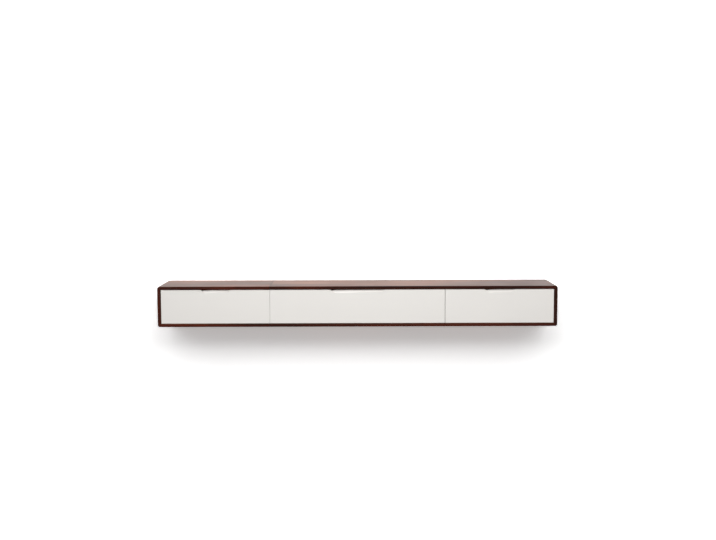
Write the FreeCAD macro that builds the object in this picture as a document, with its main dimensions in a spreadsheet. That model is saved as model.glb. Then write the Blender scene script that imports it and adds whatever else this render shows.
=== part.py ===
"""Wall-hung media console: a mitred frame in two modules, with three drawers on telescopic runners.

Frame: +X to the viewer's right, the drawers face -Y, +Z up.  The wall is the plane y = 0, and
z = 0 is the line of the wall rail's screws.
"""
import FreeCAD, Part
import math
import os
import types

import Sketcher

Vector = FreeCAD.Vector

# Driving dimensions in millimetres.
SIZES = {
    # outer frame
    "width": 2400,
    "depth": 350,
    "height": 244,
    "board": 18,
    "corner_radius": 13,
    "seam_offset": 526,
    "module_gap": 0.6,
    # mitre splines
    "spline_width": 12,
    "spline_thickness": 4,
    "spline_inset": 11.5,
    "spline_stop": 20,
    "spline_back_gap": 6,
    # back panels, their grooves and the housings of the uprights
    "back_thickness": 12,
    "back_recess": 12,
    "groove_depth": 6,
    "housing_depth": 6,
    "fit_clearance": 0.1,
    # drawer fronts
    "front_inset": 2,
    "front_thickness": 18,
    "front_gap": 3,
    "side_gap": 4,
    "divider_gap": 2.5,
    "module_front_gap": 1,
    "front_stop": 2,
    # finger pulls
    "side_pull_length": 180,
    "centre_pull_length": 330,
    "pull_steep_run": 30,
    "pull_shallow_run": 14,
    "pull_bevel": 9,
    "pull_face_deep": 20,
    "pull_face_shallow": 12,
    "pull_rear_deep": 1.2,
    "pull_rear_shallow": 0.3,
    "pull_hook_depth": 5,
    "pull_hook_lead": 16,
    "pull_hook_fade": 12,
    # drawer boxes
    "box_board": 12,
    "box_height": 140,
    "box_back_gap": 30,
    "box_lift": 15,
    "base_thickness": 6,
    "base_rise": 8,
    "base_groove": 5,
    # telescopic runners
    "runner_height": 45,
    "runner_thickness": 12.7,
    "runner_length": 250,
    "runner_rise": 50,
    "runner_setback": 2,
    "runner_sheet": 1.2,
    "runner_bend": 1.6,
    "runner_play": 0.4,
    "outer_reach": 9.5,
    "outer_lip": 4,
    "middle_offset": 2,
    "middle_reach": 8.5,
    "middle_lip": 3.5,
    "inner_reach": 8.2,
    "member_rear_gap": 4,
    "stop_half_height": 6,
    "runner_hole_radius": 2.2,
    "runner_hole_setback": 35,
    "runner_hole_pitch": 160,
    "cage_length": 110,
    "cage_sheet": 0.4,
    "cage_play": 0.2,
    "cage_lip_gap": 0.7,
    # hook rails
    "rail_sheet": 3,
    "rail_end_gap": 6,
    "rail_top_gap": 2,
    "hanging_flange": 24,
    "hook_depth": 12,
    "hook_play": 0.5,
    "wall_flange": 32,
    "wall_hole_radius": 3.25,
    "wall_screw_inner": 200,
    "wall_screw_middle": 600,
    "wall_screw_outer": 1000,
    # cable port
    "port_radius": 27,
    "port_wall": 3,
    "port_flange": 5,
    "port_flange_thickness": 2.5,
    "port_drop": 75,
    # module bolts
    "bolt_radius": 3,
    "bolt_hole_play": 0.2,
    "bolt_head_radius": 7,
    "bolt_head_height": 1.8,
    "bolt_setback": 70,
    "bolt_drop": 60,
    # buffers
    "buffer_radius": 3,
    "buffer_drop": 30,
}

PULL_OVERCUT = 2.0
HALF_SQUARE = math.sqrt(0.5)


class Length:
    """A length in millimetres together with the sheet expression that drives it."""

    def __init__(self, value, text):
        self.value = value
        self.text = text

    def joined(self, sign, other, value):
        return Length(value, f"({self.text} {sign} {as_length(other).text})")

    def __add__(self, other):
        return self.joined("+", other, self.value + as_length(other).value)

    def __sub__(self, other):
        return self.joined("-", other, self.value - as_length(other).value)

    def __mul__(self, other):
        return self.joined("*", other, self.value * as_length(other).value)

    def __truediv__(self, other):
        return self.joined("/", other, self.value / as_length(other).value)

    def __neg__(self):
        return Length(-self.value, f"(0 - {self.text})")

    __rmul__ = __mul__
    __radd__ = __add__

    def __rsub__(self, other):
        return as_length(other) - self


def as_length(number):
    """Gives a plain number the form of a Length."""
    if isinstance(number, Length):
        return number
    return Length(float(number), f"({float(number)!r})")


def fill_sheet(document):
    """Writes the driving dimensions into the sheet and returns them by name."""
    sheet = document.addObject("Spreadsheet::Sheet", "sizes")
    named = types.SimpleNamespace()
    for row, (name, value) in enumerate(SIZES.items(), start=1):
        sheet.set(f"A{row}", name)
        sheet.set(f"B{row}", str(value))
        sheet.setAlias(f"B{row}", name)
        setattr(named, name, Length(float(value), f"sizes.{name}"))
    document.recompute()
    return named


doc = FreeCAD.newDocument("media_console")
size = fill_sheet(doc)
nodes = []


# ---------------------------------------------------------------- sketches and features

def bind(feature, name, length):
    """Ties one property to the sheet."""
    feature.setExpression(name, as_length(length).text)


def heading(corner, neighbour):
    """The unit direction from a corner to its neighbour, along one of the sketch's two axes."""
    across = neighbour[0].value - corner[0].value
    along = neighbour[1].value - corner[1].value
    if abs(across) > abs(along):
        return math.copysign(1, across), 0
    return 0, math.copysign(1, along)


def rounded(corners):
    """Replaces each (u, v, radius) corner of a right-angled outline by two tangent points and an arc."""
    path = []
    for index, corner in enumerate(corners):
        if len(corner) == 2:
            path.append(corner)
            continue
        u, v, radius = corner
        to_last = heading(corner, corners[index - 1])
        to_next = heading(corner, corners[(index + 1) % len(corners)])
        centre = (u + radius * (to_last[0] + to_next[0]), v + radius * (to_last[1] + to_next[1]))
        path.append((u + radius * to_last[0], v + radius * to_last[1], centre, radius))
        path.append((u + radius * to_next[0], v + radius * to_next[1]))
    return path


def rectangle(u_low, u_high, v_low, v_high):
    """The four corners of a rectangle."""
    return [(u_low, v_low), (u_high, v_low), (u_high, v_high), (u_low, v_high)]


def pin_point(sketch, geometry, end, u, v):
    """Fixes one point of the sketch at (u, v) from the sketch's origin."""
    for kind, length in (("DistanceX", u), ("DistanceY", v)):
        length = as_length(length)
        index = sketch.addConstraint(Sketcher.Constraint(kind, -1, 1, geometry, end, length.value))
        sketch.setExpression(f"Constraints[{index}]", length.text)


def pin_radius(sketch, geometry, radius):
    """Fixes the radius of a circle or an arc."""
    radius = as_length(radius)
    index = sketch.addConstraint(Sketcher.Constraint("Radius", geometry, radius.value))
    sketch.setExpression(f"Constraints[{index}]", radius.text)


def draw_circle(sketch, u, v, radius):
    """Draws one circle."""
    centre = Vector(as_length(u).value, as_length(v).value, 0)
    geometry = sketch.addGeometry(Part.Circle(centre, Vector(0, 0, 1), as_length(radius).value), False)
    pin_point(sketch, geometry, 3, u, v)
    pin_radius(sketch, geometry, radius)


def draw_arc(sketch, start, end, centre, radius):
    """Draws the short arc from start to end, and returns its index with the numbers of the two ends."""
    middle = Vector(as_length(centre[0]).value, as_length(centre[1]).value, 0)
    first, last = start - middle, end - middle
    anticlockwise = first.x * last.y - first.y * last.x > 0
    if not anticlockwise:
        first, last = last, first
    circle = Part.Circle(middle, Vector(0, 0, 1), as_length(radius).value)
    first_angle = math.atan2(first.y, first.x)
    last_angle = math.atan2(last.y, last.x)
    arc = Part.ArcOfCircle(circle, first_angle, last_angle)
    geometry = sketch.addGeometry(arc, False)
    pin_radius(sketch, geometry, radius)
    return (geometry, 1, 2) if anticlockwise else (geometry, 2, 1)


def draw_path(sketch, path):
    """Draws a closed outline of lines, with an arc after each point that carries a centre and radius."""
    points = [Vector(as_length(point[0]).value, as_length(point[1]).value, 0) for point in path]
    edges = []
    for index, point in enumerate(path):
        start, end = points[index], points[(index + 1) % len(points)]
        if len(point) == 4:
            edges.append(draw_arc(sketch, start, end, point[2], point[3]))
        else:
            edges.append((sketch.addGeometry(Part.LineSegment(start, end), False), 1, 2))
    for index, (geometry, start, _) in enumerate(edges):
        last_geometry, _, last_end = edges[index - 1]
        sketch.addConstraint(Sketcher.Constraint("Coincident", last_geometry, last_end, geometry, start))
        pin_point(sketch, geometry, start, path[index][0], path[index][1])


PLANES = {"X": ("YZ_Plane", 1), "Y": ("XZ_Plane", -1), "Z": ("XY_Plane", 1)}


def new_sketch(body, label, axis, station, shapes):
    """A sketch across an axis at a station along it, holding closed outlines and (u, v, radius) circles."""
    role, sense = PLANES[axis]
    sketch = body.newObject("Sketcher::SketchObject", f"{label}_sketch")
    plane = next(item for item in body.Origin.OriginFeatures if item.Role == role)
    sketch.AttachmentSupport = [(plane, "")]
    sketch.MapMode = "FlatFace"
    bind(sketch, "AttachmentOffset.Base.z", station * sense)
    for shape in shapes:
        if isinstance(shape, tuple):
            draw_circle(sketch, *shape)
        else:
            draw_path(sketch, shape)
    return sketch


def pad(body, label, axis, low, high, shapes):
    """Adds the shapes as solids between two stations along an axis."""
    low, high = as_length(low), as_length(high)
    start = high if axis == "Y" else low
    feature = body.newObject("PartDesign::Pad", label)
    feature.Profile = new_sketch(body, label, axis, start, shapes)
    bind(feature, "Length", high - low)
    return feature


def pocket(body, label, axis, low, high, shapes):
    """Cuts the shapes out of the body between two stations along an axis."""
    low, high = as_length(low), as_length(high)
    start = low if axis == "Y" else high
    feature = body.newObject("PartDesign::Pocket", label)
    feature.Profile = new_sketch(body, label, axis, start, shapes)
    bind(feature, "Length", high - low)
    cuts.append(feature)
    return feature


def new_body(label):
    """Starts one sub-part."""
    body = doc.addObject("PartDesign::Body", label)
    body.Label = label
    body.AllowCompound = True
    nodes.append(body)
    return body


def place(body, x, y, z):
    """Puts a body at a point."""
    bind(body, "Placement.Base.x", x)
    bind(body, "Placement.Base.y", y)
    bind(body, "Placement.Base.z", z)


cuts = []

# ---------------------------------------------------------------- places worked out from the sizes

wall = as_length(0)
middle = as_length(0)
screw_line = as_length(0)
half_width = size.width / 2
top = (size.board + size.rail_top_gap + size.hanging_flange + size.rail_sheet
       + size.hook_depth + size.wall_flange / 2)
bottom = top - size.height
middle_height = top - size.height / 2
half_height = size.height / 2
ceiling = top - size.board
floor = bottom + size.board
inner_half = half_width - size.board

back_rear = -size.back_recess
back_front = back_rear - size.back_thickness
front_face = size.front_inset - size.depth
front_rear = front_face + size.front_thickness
divider_face = front_rear + size.front_stop
spline_front = size.spline_stop - size.depth
spline_rear = back_front - size.spline_back_gap

module_plane = -size.seam_offset
left_joint = module_plane - size.module_gap / 2
right_joint = module_plane + size.module_gap / 2
divider_left = size.seam_offset - size.board / 2
divider_right = size.seam_offset + size.board / 2

bolt_rows = [divider_face + size.bolt_setback, back_front - size.bolt_setback]
bolt_places = [(row, ceiling - size.bolt_drop) for row in bolt_rows]

# low and high faces of each inner upright
UPRIGHTS = {
    "module_side_left": (left_joint - size.board, left_joint),
    "module_side_right": (right_joint, right_joint + size.board),
    "divider_panel": (divider_left, divider_right),
}

# each drawer's bay from wall to wall, its front from end to end, and the length of its finger pull
BAYS = {
    "left": (-inner_half, left_joint - size.board,
             size.side_gap - inner_half, module_plane - size.module_front_gap / 2,
             size.side_pull_length),
    "centre": (right_joint + size.board, divider_left,
               module_plane + size.module_front_gap / 2, size.seam_offset - size.divider_gap / 2,
               size.centre_pull_length),
    "right": (divider_right, inner_half,
              size.seam_offset + size.divider_gap / 2, inner_half - size.side_gap,
              size.side_pull_length),
}

# ---------------------------------------------------------------- frame

def outer_corner(side, level):
    """The outer corner of the frame on one side and level: its mitre end, two tangent points and centre."""
    slant = size.corner_radius * (1 - HALF_SQUARE)
    mitre = (side * (half_width - slant), middle_height + level * (half_height - slant))
    on_level = (side * (half_width - size.corner_radius), middle_height + level * half_height)
    on_side = (side * half_width, middle_height + level * (half_height - size.corner_radius))
    centre = (on_level[0], on_side[1])
    return mitre, on_level, on_side, centre


def inner_corner(side, level):
    """The inner corner of the frame, where the mitre starts."""
    return side * inner_half, middle_height + level * (half_height - size.board)


def spline_outline(side, level, play):
    """The slanted section of the spline that crosses one mitre."""
    across = side * (half_width - size.spline_inset)
    up = middle_height + level * (half_height - size.spline_inset)
    half_long = (size.spline_width / 2 + play) * HALF_SQUARE
    half_thick = (size.spline_thickness / 2 + play) * HALF_SQUARE
    outline = []
    for long_sign, thick_sign in ((1, 1), (1, -1), (-1, -1), (-1, 1)):
        u = across + side * (half_thick * thick_sign - half_long * long_sign)
        v = up + level * (half_thick * thick_sign + half_long * long_sign)
        outline.append((u, v))
    return outline


def cut_spline_groove(body, side, level):
    """Cuts the stopped groove for one spline."""
    low = spline_front - size.fit_clearance
    high = spline_rear + size.fit_clearance
    pocket(body, "spline_groove", "Y", low, high, [spline_outline(side, level, size.fit_clearance)])


def cut_housing(body, level, upright):
    """Cuts the stopped housing that one upright's end is glued into."""
    low, high = UPRIGHTS[upright]
    face = middle_height + level * (half_height - size.board)
    bed = face + level * size.housing_depth
    housing_bottom, housing_top = (face, bed) if level > 0 else (bed, face)
    pocket(body, f"{upright}_housing", "Z", housing_bottom, housing_top,
           [rectangle(low - size.fit_clearance, high + size.fit_clearance,
                      divider_face - size.fit_clearance, back_front)])


def level_panel(label, side, level, joint, uprights):
    """A top (level 1) or bottom (level -1) panel, mitred at the outer end and square at the joint."""
    mitre, on_level, _, centre = outer_corner(side, level)
    inner = inner_corner(side, level)
    outline = [
        inner,
        (mitre[0], mitre[1], centre, size.corner_radius),
        on_level,
        (joint, on_level[1]),
        (joint, inner[1]),
    ]
    body = new_body(label)
    pad(body, "panel", "Y", -size.depth, wall, [outline])
    cut_spline_groove(body, side, level)
    groove_end = side * (inner_half + size.groove_depth)
    groove_low, groove_high = (groove_end, joint) if side < 0 else (joint, groove_end)
    floor_of_groove = inner[1] + level * size.groove_depth
    groove_bottom, groove_top = (inner[1], floor_of_groove) if level > 0 else (floor_of_groove, inner[1])
    pocket(body, "back_groove", "X", groove_low, groove_high,
           [rectangle(back_front - size.fit_clearance, back_rear + size.fit_clearance,
                      groove_bottom, groove_top)])
    for upright in uprights:
        cut_housing(body, level, upright)


def side_panel(label, side):
    """An outer side panel, mitred at the top and the bottom."""
    outline = []
    mitre, _, on_side, centre = outer_corner(side, 1)
    outline.append(inner_corner(side, 1))
    outline.append((mitre[0], mitre[1], centre, size.corner_radius))
    outline.append(on_side)
    mitre, _, on_side, centre = outer_corner(side, -1)
    outline.append((on_side[0], on_side[1], centre, size.corner_radius))
    outline.append(mitre)
    outline.append(inner_corner(side, -1))
    body = new_body(label)
    pad(body, "panel", "Y", -size.depth, wall, [outline])
    for level in (1, -1):
        cut_spline_groove(body, side, level)
    face = side * inner_half
    groove_floor = side * (inner_half + size.groove_depth)
    u_low, u_high = (groove_floor, face) if side < 0 else (face, groove_floor)
    pocket(body, "back_groove", "Z", floor - size.groove_depth, ceiling + size.groove_depth,
           [rectangle(u_low, u_high, back_front - size.fit_clearance, back_rear + size.fit_clearance)])


def mitre_splines():
    """Four glued splines, one across each mitre."""
    body = new_body("mitre_splines")
    outlines = [spline_outline(side, level, 0) for side in (-1, 1) for level in (-1, 1)]
    pad(body, "splines", "Y", spline_front, spline_rear, outlines)


def upright(label):
    """An inner upright, glued into housings in the top and bottom panels."""
    low, high = UPRIGHTS[label]
    reach = size.housing_depth - size.fit_clearance
    body = new_body(label)
    pad(body, "panel", "X", low, high, [rectangle(divider_face, back_front, floor - reach, ceiling + reach)])
    if label.startswith("module_side"):
        holes = [(row, level, size.bolt_radius + size.bolt_hole_play) for row, level in bolt_places]
        pocket(body, "bolt_holes", "X", low, high, holes)


def module_bolts():
    """Sleeve bolts that draw the two modules together, with a flat head on each side."""
    body = new_body("module_bolts")
    low = UPRIGHTS["module_side_left"][0]
    high = UPRIGHTS["module_side_right"][1]
    heads = [(row, level, size.bolt_head_radius) for row, level in bolt_places]
    pad(body, "shanks", "X", low, high, [(row, level, size.bolt_radius) for row, level in bolt_places])
    pad(body, "left_heads", "X", low - size.bolt_head_height, low, heads)
    pad(body, "right_heads", "X", high, high + size.bolt_head_height, heads)


# ---------------------------------------------------------------- back panels and hook rails

hanging_top = ceiling - size.rail_top_gap
hook_seat = hanging_top - size.hanging_flange - size.rail_sheet
RAIL_SPANS = {
    "left": (size.rail_end_gap - inner_half, left_joint - size.rail_end_gap),
    "right": (right_joint + size.rail_end_gap, inner_half - size.rail_end_gap),
}


def back_panel(span, low, high):
    """A structural back panel, held in the frame's grooves."""
    body = new_body(f"back_panel_{span}")
    reach = size.groove_depth - size.fit_clearance
    pad(body, "panel", "Y", back_front, back_rear, [rectangle(low, high, floor - reach, ceiling + reach)])
    return body


def hanging_rail(span):
    """The hook rail on the back of one module: a flange, a shelf and a lip that points down."""
    low, high = RAIL_SPANS[span]
    lip_front = back_rear + 2 * size.rail_sheet + size.hook_play
    lip_rear = lip_front + size.rail_sheet
    outline = [
        (back_rear, hanging_top),
        (back_rear, hook_seat),
        (lip_front, hook_seat),
        (lip_front, hook_seat - size.hook_depth + size.hook_play),
        (lip_rear, hook_seat - size.hook_depth + size.hook_play),
        (lip_rear, hook_seat + size.rail_sheet),
        (back_rear + size.rail_sheet, hook_seat + size.rail_sheet),
        (back_rear + size.rail_sheet, hanging_top),
    ]
    body = new_body(f"hanging_rail_{span}")
    pad(body, "profile", "X", low, high, [outline])


def wall_rail():
    """The rail screwed to the wall: a flange, a shelf and a lip that points up into the hanging rails."""
    lip_front = back_rear + size.rail_sheet
    lip_rear = lip_front + size.rail_sheet
    shelf_top = hook_seat - size.hook_depth
    foot = shelf_top - size.wall_flange
    outline = [
        (lip_front, hook_seat),
        (lip_front, shelf_top - size.rail_sheet),
        (-size.rail_sheet, shelf_top - size.rail_sheet),
        (-size.rail_sheet, foot),
        (wall, foot),
        (wall, shelf_top),
        (lip_rear, shelf_top),
        (lip_rear, hook_seat),
    ]
    body = new_body("wall_rail")
    end = inner_half - size.rail_end_gap
    pad(body, "profile", "X", -end, end, [outline])
    stations = (size.wall_screw_inner, size.wall_screw_middle, size.wall_screw_outer)
    holes = [(side * station, screw_line, size.wall_hole_radius) for station in stations for side in (-1, 1)]
    pocket(body, "wall_screw_holes", "Y", -size.rail_sheet, wall, holes)


port_centre = (middle, -size.port_drop)


def cut_cable_port(body):
    """Cuts the hole for the cable grommet."""
    hole = (*port_centre, size.port_radius + size.port_wall + size.fit_clearance)
    pocket(body, "cable_port", "Y", back_front, back_rear, [hole])


def cable_grommet():
    """The flanged ring that lines the cable port."""
    body = new_body("cable_grommet")
    outer = size.port_radius + size.port_wall
    inside = back_front - size.port_flange_thickness
    pad(body, "sleeve", "Y", inside, back_rear, [(*port_centre, outer)])
    pad(body, "flange", "Y", inside, back_front, [(*port_centre, outer + size.port_flange)])
    pocket(body, "bore", "Y", inside, back_rear, [(*port_centre, size.port_radius)])


# ---------------------------------------------------------------- telescopic runners

runner_level = floor + size.box_lift + size.runner_rise
runner_front = divider_face + size.runner_setback


def lipped_channel(back, mouth, half_tall, lip):
    """A channel section with its web at the depth back and lips that turn inwards at its mouth."""
    sheet = size.runner_sheet
    bend = size.runner_bend
    tip = half_tall - lip
    return rounded([
        (back, -half_tall, bend),
        (mouth, -half_tall, bend),
        (mouth, -tip),
        (mouth - sheet, -tip),
        (mouth - sheet, sheet - half_tall),
        (back + sheet, sheet - half_tall),
        (back + sheet, half_tall - sheet),
        (mouth - sheet, half_tall - sheet),
        (mouth - sheet, tip),
        (mouth, tip),
        (mouth, half_tall, bend),
        (back, half_tall, bend),
    ])


def plain_channel(back, mouth, half_tall):
    """A channel section without lips, from its web at the depth back to its mouth nearer the wall."""
    sheet = size.runner_sheet
    bend = size.runner_bend
    return rounded([
        (back, half_tall, bend),
        (mouth, half_tall),
        (mouth, half_tall - sheet),
        (back - sheet, half_tall - sheet),
        (back - sheet, sheet - half_tall),
        (mouth, sheet - half_tall),
        (mouth, -half_tall),
        (back, -half_tall, bend),
    ])


def cage(back, half_tall, mouth):
    """The thin channel of a ball cage, with its flanges along the middle of the ball tracks."""
    sheet = size.cage_sheet
    web = back + size.cage_play
    outer = half_tall + sheet / 2
    inner = half_tall - sheet / 2
    return [
        (web, -outer),
        (mouth, -outer),
        (mouth, -inner),
        (web + sheet, -inner),
        (web + sheet, inner),
        (mouth, inner),
        (mouth, outer),
        (web, outer),
    ]


outer_half = size.runner_height / 2
middle_half = outer_half - size.outer_lip - size.runner_play
inner_member_half = middle_half - size.middle_lip - size.runner_play
middle_mouth = size.middle_offset + size.middle_reach
outer_track = (outer_half - size.runner_sheet + middle_half) / 2
inner_track = (middle_half - size.runner_sheet + inner_member_half) / 2
tip_gap = size.runner_sheet + size.cage_lip_gap

# the sections of a runner's three members and of the ball cages between them, from a bay's wall inwards
MEMBERS = {
    "outer": lipped_channel(wall, size.outer_reach, outer_half, size.outer_lip),
    "middle": lipped_channel(size.middle_offset, middle_mouth, middle_half, size.middle_lip),
    "inner": plain_channel(size.runner_thickness, size.runner_thickness - size.inner_reach,
                           inner_member_half),
}
CAGES = {
    "outer": cage(size.runner_sheet, outer_track, size.outer_reach - tip_gap),
    "inner": cage(size.middle_offset + size.runner_sheet, inner_track, middle_mouth - tip_gap),
}


def standing_off(section, start, hand):
    """A section set off a wall, inwards to +X from a left wall and to -X from a right one."""
    sense = 1 if hand == "left" else -1
    placed = []
    for u, v, *arc in section:
        point = (start + sense * u, v)
        if arc:
            centre, radius = arc
            point += ((start + sense * centre[0], centre[1]), radius)
        placed.append(point)
    return placed


def cut_screw_holes(body, web, hand):
    """Cuts the screw holes through a member's web, whose bay side lies at the depth web."""
    low, high = (web, web + size.runner_sheet) if hand == "left" else (-web - size.runner_sheet, -web)
    first = size.runner_hole_setback
    holes = [(station, screw_line, size.runner_hole_radius)
             for station in (first, first + size.runner_hole_pitch)]
    pocket(body, "screw_holes", "X", low, high, holes)


def runner(bay, hand, bay_wall):
    """One telescopic runner on a bay's wall, its three members as separate bodies."""
    for member, section in MEMBERS.items():
        body = new_body(f"{bay}_runner_{member}_{hand}")
        outline = standing_off(section, middle, hand)
        if member == "outer":
            pad(body, "profile", "Y", wall, size.runner_length, [outline])
            stop = rectangle(wall, size.outer_reach, -size.stop_half_height, size.stop_half_height)
            pad(body, "rear_stop", "Y", size.runner_length - size.runner_sheet, size.runner_length,
                [standing_off(stop, middle, hand)])
            cut_screw_holes(body, wall, hand)
        else:
            pad(body, "profile", "Y", wall, size.runner_length - size.member_rear_gap, [outline])
        if member == "inner":
            cut_screw_holes(body, size.runner_thickness - size.runner_sheet, hand)
        place(body, bay_wall, runner_front, runner_level)


def ball_cages(bay, low, high):
    """The ball cages of a bay's two runners, centred on the runner's length while the drawer is shut."""
    start = (size.runner_length - size.cage_length) / 2
    for track, section in CAGES.items():
        body = new_body(f"{bay}_ball_cages_{track}")
        pad(body, "cages", "Y", start, start + size.cage_length,
            [standing_off(section, middle, "left"), standing_off(section, high - low, "right")])
        place(body, low, runner_front, runner_level)


# ---------------------------------------------------------------- drawers

def drawer_front(bay):
    """A lacquered front with a slanted finger pull: a bevel in the face, and a mouth behind it that opens
    through to the back at the steep end."""
    _, _, low, high, pull_length = BAYS[bay]
    crown = ceiling - size.front_gap
    body = new_body(f"{bay}_drawer_front")
    pad(body, "panel", "Y", front_face, front_rear,
        [rectangle(low, high, floor + size.front_gap, crown)])
    steep_end = (low + high - pull_length) / 2
    shallow_end = (low + high + pull_length) / 2
    steep_foot = steep_end + size.pull_steep_run
    shallow_foot = shallow_end - size.pull_shallow_run
    hook_foot = steep_foot - size.pull_hook_lead
    hook_end = steep_foot + size.pull_hook_fade
    face_fall = (size.pull_face_deep - size.pull_face_shallow) / (shallow_foot - steep_foot)
    face_drop = size.pull_face_deep - face_fall * size.pull_hook_fade

    def pull_outline(foot, depth, middle_depth, shallow_depth):
        return [
            (steep_end, crown + PULL_OVERCUT),
            (steep_end, crown),
            (foot, crown - depth),
            (hook_end, crown - middle_depth),
            (shallow_foot, crown - shallow_depth),
            (shallow_end, crown),
            (shallow_end, crown + PULL_OVERCUT),
        ]

    face = pull_outline(steep_foot, size.pull_face_deep, face_drop, size.pull_face_shallow)
    rear = pull_outline(hook_foot, size.pull_hook_depth, size.pull_rear_deep, size.pull_rear_shallow)
    bevel_rear = front_face + size.pull_bevel
    pull = body.newObject("PartDesign::SubtractiveLoft", "pull_bevel")
    pull.Profile = new_sketch(body, "pull_face", "Y", front_face, [face])
    pull.Sections = [new_sketch(body, "pull_rear", "Y", bevel_rear, [rear])]
    pull.Ruled = True
    cuts.append(pull)
    pocket(body, "pull_mouth", "Y", bevel_rear, front_rear, [rear])


box_floor = floor + size.box_lift
box_rear = back_front - size.box_back_gap
base_low = box_floor + size.base_rise
base_high = base_low + size.base_thickness


def drawer_box(bay):
    """The five boards of one drawer box."""
    bay_low, bay_high = BAYS[bay][:2]
    low = bay_low + size.runner_thickness
    high = bay_high - size.runner_thickness
    inner_low = low + size.box_board
    inner_high = high - size.box_board
    box_top = box_floor + size.box_height
    front_inner = front_rear + size.box_board
    back_inner = box_rear - size.box_board
    groove = (base_low - size.fit_clearance, base_high + size.fit_clearance)

    for hand, start, end, groove_low, groove_high in (
            ("left", low, inner_low, inner_low - size.base_groove, inner_low),
            ("right", inner_high, high, inner_high, inner_high + size.base_groove)):
        body = new_body(f"{bay}_box_side_{hand}")
        pad(body, "board", "X", start, end, [rectangle(front_rear, box_rear, box_floor, box_top)])
        pocket(body, "base_groove", "X", groove_low, groove_high, [rectangle(front_rear, box_rear, *groove)])

    body = new_body(f"{bay}_box_front")
    pad(body, "board", "Y", front_rear, front_inner, [rectangle(inner_low, inner_high, box_floor, box_top)])
    pocket(body, "base_groove", "Y", front_inner - size.base_groove, front_inner,
           [rectangle(inner_low, inner_high, *groove)])

    body = new_body(f"{bay}_box_back")
    pad(body, "board", "Y", back_inner, box_rear, [rectangle(inner_low, inner_high, base_high, box_top)])

    body = new_body(f"{bay}_box_base")
    reach = size.base_groove - size.fit_clearance
    pad(body, "board", "Z", base_low, base_high,
        [rectangle(inner_low - reach, inner_high + reach, front_inner - reach, box_rear)])


def front_buffers():
    """Soft buffers on the front edges of the uprights, which the shut drawer fronts rest against."""
    body = new_body("front_buffers")
    level = ceiling - size.buffer_drop
    ends = []
    for bay, sides in (("left", ("high",)), ("centre", ("low", "high")), ("right", ("low",))):
        bay_low, bay_high, front_low, front_high, _ = BAYS[bay]
        if "low" in sides:
            ends.append((bay_low + front_low) / 2)
        if "high" in sides:
            ends.append((bay_high + front_high) / 2)
    pad(body, "buffers", "Y", front_rear, divider_face, [(end, level, size.buffer_radius) for end in ends])


# ---------------------------------------------------------------- assembly

for level, word in ((1, "top"), (-1, "bottom")):
    level_panel(f"{word}_panel_left", -1, level, left_joint, ["module_side_left"])
    level_panel(f"{word}_panel_right", 1, level, right_joint, ["module_side_right", "divider_panel"])
side_panel("side_panel_left", -1)
side_panel("side_panel_right", 1)
mitre_splines()
for label in UPRIGHTS:
    upright(label)
module_bolts()

groove_reach = size.groove_depth - size.fit_clearance
back_panel("left", -inner_half - groove_reach, left_joint)
cut_cable_port(back_panel("right", right_joint, inner_half + groove_reach))
cable_grommet()
hanging_rail("left")
hanging_rail("right")
wall_rail()

for bay, (bay_low, bay_high, *_) in BAYS.items():
    runner(bay, "left", bay_low)
    runner(bay, "right", bay_high)
    ball_cages(bay, bay_low, bay_high)
    drawer_front(bay)
    drawer_box(bay)
front_buffers()

doc.recompute()

# ---------------------------------------------------------------- checks and export

for item in doc.Objects:
    if "Invalid" in item.State or "Error" in item.State:
        raise RuntimeError(f"{item.Label}: {item.State}")
for cut in cuts:
    if cut.Shape.Volume > cut.BaseFeature.Shape.Volume - 1:
        raise RuntimeError(f"{cut.Label} cuts nothing")
for body in nodes:
    if body.Shape.isNull() or not body.Shape.isValid():
        raise RuntimeError(f"{body.Label} has no valid shape")

os.makedirs("parts", exist_ok=True)
for body in nodes:
    body.Shape.exportStep(os.path.join("parts", f"{body.Label}.step"))
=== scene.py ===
# %% [markdown]
# # A wall-hung media console
#
# The real object is a long, low cabinet that hangs on a hidden rail. A mitred walnut frame, made as two
# modules, holds three white drawers on telescopic runners. Its boards, runners and rails come from a CAD
# model at their real size. This lesson gives them their finishes, adds the small pieces that CAD leaves
# out, and sets up a plain studio. One Blender unit is one metre, and nothing from CAD is moved.

# %% Load the frame
import math
import random

import bmesh
import bpy
from mathutils import Matrix, Vector


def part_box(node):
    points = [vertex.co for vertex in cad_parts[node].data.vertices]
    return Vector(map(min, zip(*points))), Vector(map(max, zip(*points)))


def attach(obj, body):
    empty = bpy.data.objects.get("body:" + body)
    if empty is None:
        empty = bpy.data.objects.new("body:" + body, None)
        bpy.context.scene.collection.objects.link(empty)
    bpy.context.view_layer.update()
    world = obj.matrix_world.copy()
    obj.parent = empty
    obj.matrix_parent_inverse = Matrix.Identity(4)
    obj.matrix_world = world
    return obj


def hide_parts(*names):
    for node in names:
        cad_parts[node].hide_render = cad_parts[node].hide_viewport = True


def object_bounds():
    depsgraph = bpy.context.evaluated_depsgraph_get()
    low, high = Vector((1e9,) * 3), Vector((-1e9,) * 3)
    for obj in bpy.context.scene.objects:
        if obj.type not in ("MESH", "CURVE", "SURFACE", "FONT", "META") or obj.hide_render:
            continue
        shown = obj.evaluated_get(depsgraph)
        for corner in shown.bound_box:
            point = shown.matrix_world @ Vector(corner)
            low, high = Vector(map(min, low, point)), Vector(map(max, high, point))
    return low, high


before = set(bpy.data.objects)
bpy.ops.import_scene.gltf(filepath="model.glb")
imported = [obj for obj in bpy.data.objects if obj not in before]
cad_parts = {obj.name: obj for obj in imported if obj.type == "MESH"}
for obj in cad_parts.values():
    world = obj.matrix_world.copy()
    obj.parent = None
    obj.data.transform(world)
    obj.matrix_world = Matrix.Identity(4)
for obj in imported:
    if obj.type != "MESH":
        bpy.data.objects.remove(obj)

MM = 0.001
CAD_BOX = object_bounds()
LOW, HIGH = CAD_BOX
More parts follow.
